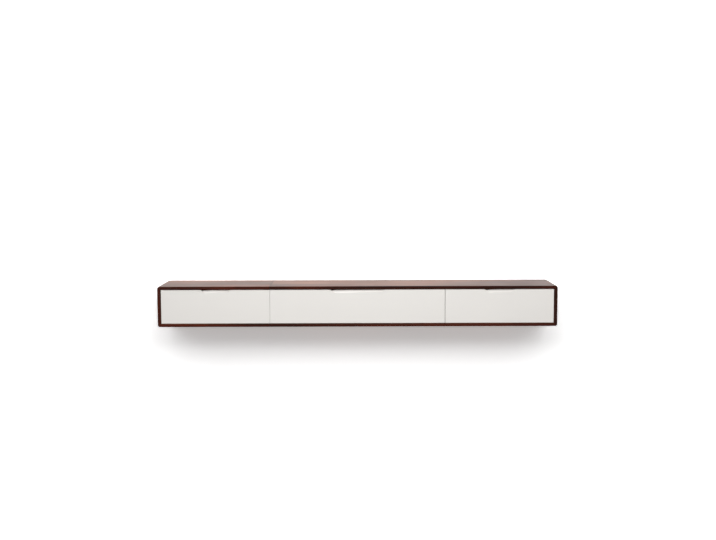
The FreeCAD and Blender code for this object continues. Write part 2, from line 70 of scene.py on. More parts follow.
BAYS = ("left", "centre", "right")
print("console in millimetres:", [round(side / MM) for side in HIGH - LOW])

# %% [markdown]
# ## The camera
#
# A catalogue picture of such a console is taken from a long way off, a little above its top, so that the
# long front looks flat and straight. This camera stands six metres away with a normal lens, and looks
# down by a few degrees. Its place is measured from the console's own front and top, so it moves with
# them if the console grows.

# %% Camera
CAMERA_DISTANCE = 6.161     # metres in front of the frame's front edges
CAMERA_RISE = 0.7           # metres above the top
CAMERA_ASIDE = 0.004        # metres from the console's middle
CAMERA_PITCH = 5.583        # degrees below level
CAMERA_ROLL = -0.17         # degrees
LENS = 52.07                # millimetres
SENSOR_WIDTH = 36.0         # millimetres

camera_data = bpy.data.cameras.new("studio_camera")
camera_data.lens = LENS
camera_data.sensor_width = SENSOR_WIDTH
camera = bpy.data.objects.new("studio_camera", camera_data)
bpy.context.scene.collection.objects.link(camera)
pitched = Matrix.Rotation(math.radians(90 - CAMERA_PITCH), 4, "X")
rolled = Matrix.Rotation(math.radians(CAMERA_ROLL), 4, "Z")
stand = Vector((CAMERA_ASIDE, LOW.y - CAMERA_DISTANCE, HIGH.z + CAMERA_RISE))
camera.matrix_world = Matrix.Translation(stand) @ (pitched @ rolled)
bpy.context.scene.camera = camera
print("camera at", [round(value, 3) for value in stand])

# %% [markdown]
# ## Colours and nodes
#
# Colours are written as sRGB hex values, as a paint shop gives them, and one function turns them into
# the linear values that a renderer adds up. A second function adds a shader node, sets it and links it,
# so that each material reads as a short list of what it is made of. A Mix node has several sockets
# called A, one for each kind of value, so its colour sockets are picked by their place in the list.

# %% Colour and node helpers
MIX_A, MIX_B, MIX_RESULT = 6, 7, 2


def linear(code):
    """The linear colour of an sRGB hex value such as "#E2DFDA"."""
    levels = [int(code[place:place + 2], 16) / 255 for place in (1, 3, 5)]
    light = [level / 12.92 if level <= 0.04045 else ((level + 0.055) / 1.055) ** 2.4
             for level in levels]
    return light + [1.0]


def add_node(tree, kind, inputs=(), **settings):
    """Adds a node, sets it, and fills its inputs with values or links them to sockets."""
    made = tree.nodes.new("ShaderNode" + kind)
    for name, setting in settings.items():
        setattr(made, name, setting)
    for name, value in dict(inputs).items():
        if isinstance(value, bpy.types.NodeSocket):
            tree.links.new(value, made.inputs[name])
        else:
            made.inputs[name].default_value = value
    return made


print("warm white is", [round(level, 3) for level in linear("#E2DFDA")])

# %% [markdown]
# ## The studio
#
# The console hangs on a white wall, above a white floor, and throws a soft shadow on the wall. Both
# planes are matt paint, about half as bright again as real paint can be, so that the lamps can stay low
# and the wall still comes out white. Only the camera sees the planes, so they throw no light on the
# console. From behind they are clear, so that the console's back can be looked at too.

# %% Wall and floor
BACKDROP_SIZE = 14.0
WALL_GAP = 0.5 * MM
FLOOR_DROP = 0.42
BACKDROP_GLOW = 0.03
BACKDROP_LIFT = 1.55


def backdrop_paint():
    """Matt white paint that glows a little for the camera and is clear from behind."""
    made = bpy.data.materials.new("backdrop_paint")
    made.use_nodes = True
    tree = made.node_tree
    tree.nodes.clear()
    path = add_node(tree, "LightPath")
    geometry = add_node(tree, "NewGeometry")
    paint = add_node(tree, "BsdfDiffuse", {"Color": (BACKDROP_LIFT, BACKDROP_LIFT, BACKDROP_LIFT, 1.0)})
    shine = add_node(tree, "Math", {0: path.outputs["Is Camera Ray"], 1: BACKDROP_GLOW},
                     operation="MULTIPLY")
    glow = add_node(tree, "Emission", {"Strength": shine.outputs[0]})
    front = add_node(tree, "AddShader", {0: paint.outputs[0], 1: glow.outputs[0]})
    clear = add_node(tree, "BsdfTransparent")
    both = add_node(tree, "MixShader", {0: geometry.outputs["Backfacing"], 1: front.outputs[0],
                                        2: clear.outputs[0]})
    add_node(tree, "OutputMaterial", {"Surface": both.outputs[0]})
    return made


def add_plane(name, place, finish):
    """A large square plane that only the camera sees."""
    shape = bmesh.new()
    bmesh.ops.create_grid(shape, x_segments=1, y_segments=1, size=BACKDROP_SIZE / 2, matrix=place)
    data = bpy.data.meshes.new(name)
    shape.to_mesh(data)
    shape.free()
    data.materials.append(finish)
    plane = bpy.data.objects.new(name, data)
    bpy.context.scene.collection.objects.link(plane)
    plane.visible_diffuse = False
    plane.visible_glossy = False
    plane.visible_transmission = False
    plane.visible_shadow = False


paint = backdrop_paint()
upright = Matrix.Rotation(math.radians(90), 4, "X")
add_plane("wall", Matrix.Translation((0, HIGH.y + WALL_GAP, 0)) @ upright, paint)
add_plane("floor", Matrix.Translation((0, 0, LOW.z - FLOOR_DROP)), paint)
print("floor", FLOOR_DROP, "m below the console")

# %% [markdown]
# ## The light
#
# A wide softbox in front of the console and above it is the key light. It lights the fronts evenly and
# throws the shadow down the wall. A small one, closer in, lifts the centre of the fronts, and one
# overhead lights the top. The room's own light fills in from all sides at a low level, but shows as plain
# white to the camera and in anything glossy or clear. A fourth softbox lights the back and isn't
# mirrored.

# %% World and lamps
AMBIENT = 0.42
FRONTS_MIDDLE = (0, -0.3, -0.1)
TOP_MIDDLE = (0, -0.2, 0)
BACK_MIDDLE = (0, 0, 0)

world = bpy.data.worlds.new("studio_world")
bpy.context.scene.world = world
world.use_nodes = True
sky = world.node_tree
sky.nodes.clear()
path = add_node(sky, "LightPath")
mirrored = add_node(sky, "Math", {0: path.outputs["Is Glossy Ray"],
                                  1: path.outputs["Is Transmission Ray"]}, operation="ADD")
seen = add_node(sky, "Math", {0: path.outputs["Is Camera Ray"], 1: mirrored.outputs[0]},
                operation="ADD", use_clamp=True)
strength = add_node(sky, "MapRange", {"Value": seen.outputs[0], "To Min": AMBIENT, "To Max": 1.0})
room_light = add_node(sky, "Background", {"Color": (1, 1, 1, 1), "Strength": strength.outputs[0]})
add_node(sky, "OutputWorld", {"Surface": room_light.outputs[0]})


def add_softbox(name, place, target, width, height, watts):
    """A rectangular area lamp at a place, aimed at a target."""
    data = bpy.data.lights.new(name, "AREA")
    data.shape = "RECTANGLE"
    data.size = width
    data.size_y = height
    data.energy = watts
    lamp = bpy.data.objects.new(name, data)
    bpy.context.scene.collection.objects.link(lamp)
    lamp.location = place
    lamp.rotation_euler = (Vector(target) - Vector(place)).to_track_quat("-Z", "Y").to_euler()
    return lamp


key_lamp = add_softbox("key_softbox", (0, -3.2, 2.2), FRONTS_MIDDLE, width=8.0, height=2.6, watts=102)
fill_lamp = add_softbox("fill_softbox", (0, -2.4, 1.3), FRONTS_MIDDLE, width=1.6, height=1.0, watts=17)
top_lamp = add_softbox("overhead_softbox", (0, -0.6, 2.6), TOP_MIDDLE, width=4.0, height=1.2, watts=46)
back_lamp = add_softbox("back_softbox", (0, 3.2, 1.6), BACK_MIDDLE, width=3.0, height=1.5, watts=55)
back_lamp.visible_glossy = False
print("lamps:", key_lamp.name, fill_lamp.name, top_lamp.name, back_lamp.name)

# %% [markdown]
# ## Measured patterns
#
# A pattern looks right only at its real scale. This helper gives object coordinates whose unit is a
# number of millimetres along each axis, so that wood grain can be long one way and fine the other.

# %% Pattern space and ramps
AXES = {"x": 0, "y": 1, "z": 2}


def measured_space(tree, spans, shift=0.0):
    """Object coordinates in which one unit spans the given millimetres, moved on by shift units."""
    coordinates = add_node(tree, "TexCoord")
    scale = [1 / (span * MM) for span in spans]
    mapping = add_node(tree, "Mapping", {"Vector": coordinates.outputs["Object"], "Scale": scale,
                                         "Location": (shift, shift, shift)})
    return mapping.outputs["Vector"]


def along(axis, length, width):
    """Spans that are long on one axis and narrow on the other two."""
    spans = [width, width, width]
    spans[AXES[axis]] = length
    return spans


def set_ramp(ramp, stops):
    """Gives a colour ramp its stops, as pairs of a place and a colour."""
    elements = ramp.color_ramp.elements
    while len(elements) < len(stops):
        elements.new(0.5)
    for element, (place, colour) in zip(elements, stops):
        element.position = place
        element.color = colour


def start_material(name, plain):
    """A new material with its tree and its Principled surface, whose uniform values are set here."""
    made = bpy.data.materials.new(name)
    made.use_nodes = True
    surface = made.node_tree.nodes["Principled BSDF"]
    for socket, value in plain.items():
        surface.inputs[socket].default_value = value
    return made, made.node_tree, surface


def paint_surface(tree, surface, colour=None, roughness=None, height=None, depth=0.0):
    """Links a colour, a roughness and a bump whose full height is depth millimetres."""
    if colour is not None:
        tree.links.new(colour, surface.inputs["Base Color"])
    if roughness is not None:
        tree.links.new(roughness, surface.inputs["Roughness"])
    if height is not None:
        bump = add_node(tree, "Bump", {"Height": height, "Strength": 1.0, "Distance": depth * MM})
        tree.links.new(bump.outputs["Normal"], surface.inputs["Normal"])


print("grain space:", along("x", 900, 45))

# %% [markdown]
# ## Walnut veneer under satin lacquer
#
# The frame's boards are faced with red-brown walnut and sprayed with a satin lacquer. The eye sees long
# bands of lighter and darker wood that run with the board, short dark pores among them, and a soft sheen
# that turns bright where the surface is seen at a low angle. The faces that look to the front or rear are
# drawn much darker than the top and bottom. This is partly a darker stain on the edges and partly painted
# shade, because the light falls on the top and not on the edges. Each board is faced from its own leaf of
# veneer, so the figure and the tone jump at the line where the two modules meet. A painted dark line
# there stands in for the shade in the joint between the boards. Real pores are 0.3 mm wide; they are
# drawn wider, because finer ones would vanish at this distance. Lacquer has an index of 1.5, but this
# studio is white on every side, which no real room is, so a lower one keeps the dark edges dark.

# %% Walnut
FIGURE_LENGTH, FIGURE_WIDTH = 820, 34
TONE_LENGTH, TONE_WIDTH = 560, 240
PORE_LENGTH, PORE_WIDTH = 55, 1.8
SHEEN_PATCH = 160
WALNUT_IOR = 1.2
WALNUT_SHEEN = (0.25, 0.36)
EDGE_TURN = 0.6             # a face that turns this far to the front or rear is an edge
DRIFT_LOW, DRIFT_HIGH = 0.32, 0.68
TONE_SWING = 0.5
PORE_START, PORE_FULL = 0.55, 0.72
PORE_DEPTH = 0.03
# painted shade in the joint between the modules: a dark line, full within the first width in mm and gone
# by the second
SEAM_SHADE_CORE, SEAM_SHADE_FADE = 1.0, 2.6
MODULE_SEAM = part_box("top_panel_left")[1].x
# the faces' ramp, then the edges' much darker one: a darker stain on the edges, plus painted shade
# because less light falls on them than on the top
FACE_STOPS = [(0.28, linear("#4B2B1F")), (0.5, linear("#6C4433")), (0.74, linear("#865A43"))]
EDGE_STAIN_AND_SHADE_STOPS = [(0.28, linear("#240C05")), (0.5, linear("#3C1509")), (0.74, linear("#562311"))]
PORE_COLOUR = linear("#1A0A06")


def seam_shade_mask(tree):
    """A mask of painted shade in the joint: 1 on the line where the two modules meet, 0 a few millimetres
    away.
    """
    coordinates = add_node(tree, "TexCoord")
    place = add_node(tree, "SeparateXYZ", {"Vector": coordinates.outputs["Object"]})
    beside = add_node(tree, "Math", {0: place.outputs["X"], 1: MODULE_SEAM}, operation="SUBTRACT")
    away = add_node(tree, "Math", {0: beside.outputs[0]}, operation="ABSOLUTE")
    line = add_node(tree, "MapRange", {"Value": away.outputs[0], "From Min": SEAM_SHADE_CORE * MM,
                                       "From Max": SEAM_SHADE_FADE * MM, "To Min": 1.0, "To Max": 0.0})
    return line.outputs[0]


def lacquered_walnut(board, grain, leaf, tone_and_shade):
    """Lacquered walnut for one board, from its own leaf, at a tone that also carries painted shade."""
    made, tree, surface = start_material(f"lacquered_walnut_{board}", {"IOR": WALNUT_IOR})
    figure_space = measured_space(tree, along(grain, FIGURE_LENGTH, FIGURE_WIDTH), leaf)
    figure = add_node(tree, "TexNoise", {"Vector": figure_space, "Scale": 1.0, "Detail": 5.0,
                                         "Roughness": 0.62, "Distortion": 0.7})
    face = add_node(tree, "ValToRGB", {"Fac": figure.outputs["Fac"]})
    set_ramp(face, FACE_STOPS)
    # faces that look to the front or rear take the darker ramp: partly stain, partly painted shade
    edge = add_node(tree, "ValToRGB", {"Fac": figure.outputs["Fac"]})
    set_ramp(edge, EDGE_STAIN_AND_SHADE_STOPS)
    geometry = add_node(tree, "NewGeometry")
    facing = add_node(tree, "SeparateXYZ", {"Vector": geometry.outputs["True Normal"]})
    flat = add_node(tree, "Math", {0: facing.outputs["Y"]}, operation="ABSOLUTE")
    edge_stain_and_shade_mask = add_node(tree, "Math", {0: flat.outputs[0], 1: EDGE_TURN}, operation="GREATER_THAN")
    wood = add_node(tree, "Mix", {0: edge_stain_and_shade_mask.outputs[0], MIX_A: face.outputs["Color"],
                                  MIX_B: edge.outputs["Color"]}, data_type="RGBA")
    tone_space = measured_space(tree, along(grain, TONE_LENGTH, TONE_WIDTH), leaf)
    drift = add_node(tree, "TexNoise", {"Vector": tone_space, "Scale": 1.0, "Detail": 1.0})
    level = add_node(tree, "MapRange", {"Value": drift.outputs["Fac"],
                                        "From Min": DRIFT_LOW, "From Max": DRIFT_HIGH,
                                        "To Min": (1 - TONE_SWING) * tone_and_shade,
                                        "To Max": (1 + TONE_SWING) * tone_and_shade})
    toned = add_node(tree, "HueSaturation", {"Value": level.outputs[0],
                                             "Color": wood.outputs[MIX_RESULT]})
    pore_space = measured_space(tree, along(grain, PORE_LENGTH, PORE_WIDTH), leaf)
    pores = add_node(tree, "TexNoise", {"Vector": pore_space, "Scale": 1.0, "Detail": 2.0})
    dark = add_node(tree, "MapRange", {"Value": pores.outputs["Fac"],
                                       "From Min": PORE_START, "From Max": PORE_FULL})
    # boards that run along x take the painted joint shade into the pores' dark colour
    if grain == "x":
        dark = add_node(tree, "Math", {0: dark.outputs[0], 1: seam_shade_mask(tree)}, operation="MAXIMUM")
    colour = add_node(tree, "Mix", {0: dark.outputs[0], MIX_A: toned.outputs["Color"],
                                    MIX_B: PORE_COLOUR}, data_type="RGBA")
    patch_space = measured_space(tree, (SHEEN_PATCH, SHEEN_PATCH, SHEEN_PATCH), leaf)
    patches = add_node(tree, "TexNoise", {"Vector": patch_space, "Scale": 1.0, "Detail": 3.0})
    sheen = add_node(tree, "MapRange", {"Value": patches.outputs["Fac"],
                                        "To Min": WALNUT_SHEEN[0], "To Max": WALNUT_SHEEN[1]})
    paint_surface(tree, surface, colour.outputs[MIX_RESULT], sheen.outputs[0],
                  pores.outputs["Fac"], -PORE_DEPTH)
    return made


# each board's grain, the place of its leaf in the pattern, and its tone; the tone differs from leaf to
# leaf and also carries painted light, lighter on the top left and darker on the right side
LEAVES = {"top_left": ("x", 22.7, 1.08), "top_right": ("x", 6.9, 1.0),
          "bottom_left": ("x", 8.0, 0.85), "bottom_right": ("x", 13.1, 0.95),
          "side_left": ("z", 14.0, 1.0), "side_right": ("z", 17.0, 0.65)}
WALNUT = {}
for board, (grain, leaf, tone_and_shade) in LEAVES.items():
    WALNUT[board] = lacquered_walnut(board, grain, leaf, tone_and_shade)
print("made walnut for", ", ".join(WALNUT))

# %% [markdown]
# ## Warm white lacquer
#
# The fronts are fibreboard, primed and sprayed with a warm white satin lacquer. Sprayed lacquer isn't
# quite flat: it has a faint orange-peel ripple a few millimetres across, and its sheen wanders a little.

# %% White lacquer
RIPPLE, RIPPLE_DEPTH = 4.0, 0.012
SHEEN_WANDER = 240
WHITES = ("#E4E1DC", "#E0DDD9")


def sprayed_white():
    """Warm white satin lacquer with a faint orange-peel ripple."""
    made, tree, surface = start_material("sprayed_white_lacquer", {"IOR": 1.45})
    patch_space = measured_space(tree, (SHEEN_WANDER, SHEEN_WANDER, SHEEN_WANDER))
    patches = add_node(tree, "TexNoise", {"Vector": patch_space, "Scale": 1.0, "Detail": 2.0})
    colour = add_node(tree, "Mix", {0: patches.outputs["Fac"], MIX_A: linear(WHITES[0]),
                                    MIX_B: linear(WHITES[1])}, data_type="RGBA")
    sheen = add_node(tree, "MapRange", {"Value": patches.outputs["Fac"], "To Min": 0.3, "To Max": 0.42})
    ripple_space = measured_space(tree, (RIPPLE, RIPPLE, RIPPLE))
    ripple = add_node(tree, "TexNoise", {"Vector": ripple_space, "Scale": 1.0, "Detail": 1.0})
    paint_surface(tree, surface, colour.outputs[MIX_RESULT], sheen.outputs[0],
                  ripple.outputs["Fac"], RIPPLE_DEPTH)
    return made


WHITE_LACQUER = sprayed_white()
print("made", WHITE_LACQUER.name)

# %% [markdown]
# ## Dark melamine
#
# The uprights and the back panels are chipboard faced with melamine, a hard paper film printed and
# embossed like wood. It is darker and duller than the veneer, so that it steps back behind the fronts.
# Its pores are drawn coarser than real ones.

# %% Melamine
STREAK_LENGTH, STREAK_WIDTH = 300, 26
EMBOSS_LENGTH, EMBOSS_WIDTH, EMBOSS_DEPTH = 22, 1.6, 0.05


def embossed_melamine():
    """Dark wood-print melamine with shallow embossed pores."""
    made, tree, surface = start_material("embossed_melamine", {"IOR": 1.4})
    streak_space = measured_space(tree, along("z", STREAK_LENGTH, STREAK_WIDTH))
    streaks = add_node(tree, "TexNoise", {"Vector": streak_space, "Scale": 1.0, "Detail": 4.0})
    bands = add_node(tree, "ValToRGB", {"Fac": streaks.outputs["Fac"]})
    set_ramp(bands, [(0.3, linear("#20130E")), (0.7, linear("#33211A"))])
    pore_space = measured_space(tree, along("z", EMBOSS_LENGTH, EMBOSS_WIDTH))
    pores = add_node(tree, "TexNoise", {"Vector": pore_space, "Scale": 1.0, "Detail": 1.0})
    sheen = add_node(tree, "MapRange", {"Value": pores.outputs["Fac"], "To Min": 0.42, "To Max": 0.6})
    paint_surface(tree, surface, bands.outputs["Color"], sheen.outputs[0],
                  pores.outputs["Fac"], -EMBOSS_DEPTH)
    return made


MELAMINE = embossed_melamine()
print("made", MELAMINE.name)

# %% [markdown]
# ## Birch plywood
#
# The drawer boxes are birch plywood under clear lacquer. A face shows pale, silky wood with faint long
# bands. An edge shows the plies: thin layers, light and dark in turn. Which one a point belongs to
# follows from the direction that its surface faces, compared with the board's thin direction. Real plies
# are about 1.5 mm thick; here they are twice that, and the fibres are drawn coarser than real ones too.

# %% Plywood
PLY = 3.0
BIRCH_FIGURE_LENGTH, BIRCH_FIGURE_WIDTH = 420, 24
FIBRE_LENGTH, FIBRE_WIDTH, FIBRE_DEPTH = 30, 1.2, 0.02
FACE_TURN = 0.7             # a side that turns this far to the thin direction is a face


def birch_plywood(name, thin, grain):
    """Birch plywood for a board that is thin on one axis and has its face grain along another."""
    made, tree, surface = start_material(name, {"IOR": 1.42})
    face_space = measured_space(tree, along(grain, BIRCH_FIGURE_LENGTH, BIRCH_FIGURE_WIDTH))
    figure = add_node(tree, "TexNoise", {"Vector": face_space, "Scale": 1.0, "Detail": 4.0,
                                         "Distortion": 0.5})
    face = add_node(tree, "ValToRGB", {"Fac": figure.outputs["Fac"]})
    set_ramp(face, [(0.3, linear("#C9A97B")), (0.52, linear("#D8BC90")), (0.75, linear("#E2CAA2"))])
    layer_space = measured_space(tree, (PLY, PLY, PLY))
    layers = add_node(tree, "SeparateXYZ", {"Vector": layer_space})
    turn = add_node(tree, "Math", {0: layers.outputs[AXES[thin]], 1: 1.0}, operation="PINGPONG")
    ply = add_node(tree, "MapRange", {"Value": turn.outputs[0], "From Min": 0.42, "From Max": 0.58})
    edge = add_node(tree, "Mix", {0: ply.outputs[0], MIX_A: linear("#A87F50"),
                                  MIX_B: linear("#DCC298")}, data_type="RGBA")
    geometry = add_node(tree, "NewGeometry")
    facing = add_node(tree, "SeparateXYZ", {"Vector": geometry.outputs["True Normal"]})
    flat = add_node(tree, "Math", {0: facing.outputs[AXES[thin]]}, operation="ABSOLUTE")
    on_face = add_node(tree, "Math", {0: flat.outputs[0], 1: FACE_TURN}, operation="GREATER_THAN")
    colour = add_node(tree, "Mix", {0: on_face.outputs[0], MIX_A: edge.outputs[MIX_RESULT],
                                    MIX_B: face.outputs["Color"]}, data_type="RGBA")
    fibre_space = measured_space(tree, along(grain, FIBRE_LENGTH, FIBRE_WIDTH))
    fibres = add_node(tree, "TexNoise", {"Vector": fibre_space, "Scale": 1.0, "Detail": 2.0})
    sheen = add_node(tree, "MapRange", {"Value": fibres.outputs["Fac"], "To Min": 0.38, "To Max": 0.55})
    paint_surface(tree, surface, colour.outputs[MIX_RESULT], sheen.outputs[0],
                  fibres.outputs["Fac"], FIBRE_DEPTH)
    return made


PLY_SIDE = birch_plywood("birch_plywood_side", "x", "y")
PLY_CROSS = birch_plywood("birch_plywood_cross", "y", "x")
PLY_BASE = birch_plywood("birch_plywood_base", "z", "x")
print("made", PLY_SIDE.name, PLY_CROSS.name, PLY_BASE.name)

# %% [markdown]
# ## Metals
#
# The wall rail and the hanging rails are aluminium straight from the extrusion press, with fine lines
# along them. The runners are cold-rolled steel strip under bright zinc, which has a cool, slightly cloudy
# look. The ball cages are bare spring strip, duller and greyer, and the balls are polished bearing steel.
# One function makes all four, because they differ only in colour, sheen and their lines. The lines are
# drawn about a millimetre wide, which is coarser than real ones.

# %% Metals
CLOUD_LENGTH, CLOUD_WIDTH = 70, 18
LINE_LENGTH = 120


def lined_metal(name, shades, sheen, axis, line_width, depth):
    """A metal with two shades in cloudy patches and fine lines along one axis."""
    made, tree, surface = start_material(name, {"Metallic": 1.0})
    cloud_space = measured_space(tree, along(axis, CLOUD_LENGTH, CLOUD_WIDTH))
    clouds = add_node(tree, "TexNoise", {"Vector": cloud_space, "Scale": 1.0, "Detail": 3.0})
    colour = add_node(tree, "Mix", {0: clouds.outputs["Fac"], MIX_A: linear(shades[0]),
                                    MIX_B: linear(shades[1])}, data_type="RGBA")
    line_space = measured_space(tree, along(axis, LINE_LENGTH, line_width))
    lines = add_node(tree, "TexNoise", {"Vector": line_space, "Scale": 1.0, "Detail": 2.0})
    roughness = add_node(tree, "MapRange", {"Value": lines.outputs["Fac"],
                                            "From Min": 0.3, "From Max": 0.7,
                                            "To Min": sheen[0], "To Max": sheen[1]})
    paint_surface(tree, surface, colour.outputs[MIX_RESULT], roughness.outputs[0],
                  lines.outputs["Fac"], depth)
    return made


EXTRUDED_ALUMINIUM = lined_metal("extruded_aluminium", ("#B9BABB", "#C9CACA"), (0.28, 0.42), "x",
                                 line_width=1.2, depth=0.01)
ZINC_PLATED_STEEL = lined_metal("zinc_plated_steel", ("#AEB2B5", "#C4C6C6"), (0.22, 0.36), "y",
                                line_width=1.0, depth=0.006)
SPRING_STRIP = lined_metal("spring_steel_strip", ("#82817E", "#93918D"), (0.3, 0.45), "y",
                           line_width=1.0, depth=0.004)
BEARING_STEEL = lined_metal("bearing_steel", ("#C7C8CA", "#D3D4D5"), (0.06, 0.12), "y",
                            line_width=1.0, depth=0.0)
print("made", EXTRUDED_ALUMINIUM.name, ZINC_PLATED_STEEL.name, SPRING_STRIP.name, BEARING_STEEL.name)

# %% [markdown]
# ## Plastics and raw wood
#
# The cable grommet is black ABS with a fine eroded grain from its mould. The buffers are clear soft
# polyurethane, which goes a little yellow. The splines inside the mitres are raw beech with its short
# brown flecks, drawn coarser than real ones; nobody sees them once the frame is glued.

# %% Plastics and beech
ABS_GRAIN, ABS_GRAIN_DEPTH = 1.2, 0.03
BUFFER_CLOUD = 3
FLECK_LENGTH, FLECK_WIDTH, FLECK_DEPTH = 9, 1.4, 0.02


def moulded_abs():
    """Black ABS with the fine grain of an eroded mould, drawn coarse enough to show."""
    made, tree, surface = start_material("moulded_black_abs", {"IOR": 1.53})
    grain_space = measured_space(tree, (ABS_GRAIN, ABS_GRAIN, ABS_GRAIN))
    grain = add_node(tree, "TexNoise", {"Vector": grain_space, "Scale": 1.0, "Detail": 2.0})
    colour = add_node(tree, "Mix", {0: grain.outputs["Fac"], MIX_A: linear("#141416"),
                                    MIX_B: linear("#1F1F21")}, data_type="RGBA")
    sheen = add_node(tree, "MapRange", {"Value": grain.outputs["Fac"], "To Min": 0.4, "To Max": 0.56})
    paint_surface(tree, surface, colour.outputs[MIX_RESULT], sheen.outputs[0],
                  grain.outputs["Fac"], ABS_GRAIN_DEPTH)
    return made


def clear_buffer():
    """Clear polyurethane, slightly yellow and slightly cloudy."""
    made, tree, surface = start_material("clear_polyurethane", {"IOR": 1.5, "Transmission Weight": 0.75})
    cloud_space = measured_space(tree, (BUFFER_CLOUD, BUFFER_CLOUD, BUFFER_CLOUD))
    clouds = add_node(tree, "TexNoise", {"Vector": cloud_space, "Scale": 1.0, "Detail": 2.0})
    colour = add_node(tree, "Mix", {0: clouds.outputs["Fac"], MIX_A: linear("#E6E2D2"),
                                    MIX_B: linear("#F0EEE4")}, data_type="RGBA")
    sheen = add_node(tree, "MapRange", {"Value": clouds.outputs["Fac"], "To Min": 0.12, "To Max": 0.3})
    paint_surface(tree, surface, colour.outputs[MIX_RESULT], sheen.outputs[0])
    return made


def raw_beech():
    """Planed beech with short brown ray flecks."""
    made, tree, surface = start_material("raw_beech", {"IOR": 1.4})
    fleck_space = measured_space(tree, along("y", FLECK_LENGTH, FLECK_WIDTH))
    flecks = add_node(tree, "TexNoise", {"Vector": fleck_space, "Scale": 1.0, "Detail": 2.0})
    colour = add_node(tree, "ValToRGB", {"Fac": flecks.outputs["Fac"]})
    set_ramp(colour, [(0.42, linear("#D2A77C")), (0.62, linear("#A87A50"))])
    sheen = add_node(tree, "MapRange", {"Value": flecks.outputs["Fac"], "To Min": 0.55, "To Max": 0.7})
    paint_surface(tree, surface, colour.outputs["Color"], sheen.outputs[0],
                  flecks.outputs["Fac"], FLECK_DEPTH)
    return made


BLACK_ABS = moulded_abs()
CLEAR_POLYURETHANE = clear_buffer()
RAW_BEECH = raw_beech()
print("made", BLACK_ABS.name, CLEAR_POLYURETHANE.name, RAW_BEECH.name)

# %% [markdown]
# ## Finishing the CAD pieces
#
# A CAD board has knife-sharp edges, which no maker leaves: sanding, spraying and rolling all round
# them, and the thin bright line that the light draws along such an edge makes a board look real. The
# meshes themselves stay as they are. Three modifiers weld their loose triangles, clear the flat faces
# of extra edges and round what is left, each kind of piece by its own width. Angles here are in degrees
# and lengths in millimetres.

# %% Finish a CAD node
FLAT_ANGLE = 0.2
SHARP_ANGLE = 25
WELD_GAP = 0.001
BOARD_ARRIS, UPRIGHT_ARRIS, BACK_ARRIS = 0.6, 0.4, 0.3
FRONT_ARRIS, BOX_ARRIS, BASE_ARRIS = 1.0, 0.5, 0.3
RAIL_ARRIS, RUNNER_ARRIS, CAGE_ARRIS, BOLT_ARRIS = 0.3, 0.15, 0.05, 0.3
SPLINE_ARRIS, GROMMET_ARRIS, BUFFER_ARRIS = 0.3, 0.6, 0.3


def finish_node(name, finish, arris):
    """Gives a CAD node its finish and rounds its edges by arris millimetres."""
    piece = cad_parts[name]
    piece.data.materials.clear()
    piece.data.materials.append(finish)
    weld = piece.modifiers.new("weld", "WELD")
    weld.merge_threshold = WELD_GAP * MM
    clear = piece.modifiers.new("clear_flat_faces", "DECIMATE")
    clear.decimate_type = "DISSOLVE"
    clear.angle_limit = math.radians(FLAT_ANGLE)
    rounding = piece.modifiers.new("round_edges", "BEVEL")
    rounding.width = arris * MM
    rounding.segments = 2
    rounding.limit_method = "ANGLE"
    rounding.angle_limit = math.radians(SHARP_ANGLE)
    rounding.harden_normals = True


for level in ("top", "bottom"):
    for side in ("left", "right"):
        finish_node(f"{level}_panel_{side}", WALNUT[f"{level}_{side}"], BOARD_ARRIS)
for side in ("left", "right"):
    finish_node(f"side_panel_{side}", WALNUT[f"side_{side}"], BOARD_ARRIS)
    finish_node(f"module_side_{side}", MELAMINE, UPRIGHT_ARRIS)
    finish_node(f"back_panel_{side}", MELAMINE, BACK_ARRIS)
    finish_node(f"hanging_rail_{side}", EXTRUDED_ALUMINIUM, RAIL_ARRIS)
finish_node("divider_panel", MELAMINE, UPRIGHT_ARRIS)
finish_node("wall_rail", EXTRUDED_ALUMINIUM, RAIL_ARRIS)
finish_node("mitre_splines", RAW_BEECH, SPLINE_ARRIS)
finish_node("module_bolts", ZINC_PLATED_STEEL, BOLT_ARRIS)
finish_node("cable_grommet", BLACK_ABS, GROMMET_ARRIS)
finish_node("front_buffers", CLEAR_POLYURETHANE, BUFFER_ARRIS)

for bay in BAYS:
    finish_node(f"{bay}_drawer_front", WHITE_LACQUER, FRONT_ARRIS)
    finish_node(f"{bay}_box_front", PLY_CROSS, BOX_ARRIS)
    finish_node(f"{bay}_box_back", PLY_CROSS, BOX_ARRIS)
    finish_node(f"{bay}_box_base", PLY_BASE, BASE_ARRIS)
    for side in ("left", "right"):
        finish_node(f"{bay}_box_side_{side}", PLY_SIDE, BOX_ARRIS)
        for member in ("outer", "middle", "inner"):
            finish_node(f"{bay}_runner_{member}_{side}", ZINC_PLATED_STEEL, RUNNER_ARRIS)
    for track in ("outer", "inner"):
        finish_node(f"{bay}_ball_cages_{track}", SPRING_STRIP, CAGE_ARRIS)
print("finished", sum(1 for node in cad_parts.values() if node.modifiers), "CAD nodes")

# %% [markdown]
# ## Turned fasteners
#
# A screw or bolt head is round, and its recess has the outline of a driver's tip. Each is made here as a
# stack of rings with the same number of corners. The cap of the last ring is extruded, and its corners
# move to the next ring. The last two rings of a head have the outline of a cross or a hexagon, one at the
# top of the recess and one at its bottom, so that no boolean is needed.

# %% Rings and recesses
RING_CORNERS = 24


def cross(arm):
    """The reach at each angle of a cross: its arms are arm long, and tan(15) of that to each side."""
    half_arm = math.pi / 12

    def reach(angle):
        off_axis = abs((angle + math.pi / 4) % (math.pi / 2) - math.pi / 4)
        if off_axis <= half_arm:
            return arm / math.cos(off_axis)
        return arm * math.tan(half_arm) / math.sin(off_axis)
    return reach


def hexagon(half_flats):
    """The reach at each angle of a hexagon, half_flats from its middle to each flat."""
    def reach(angle):
        return half_flats / math.cos((angle + math.pi / 6) % (math.pi / 3) - math.pi / 6)
    return reach


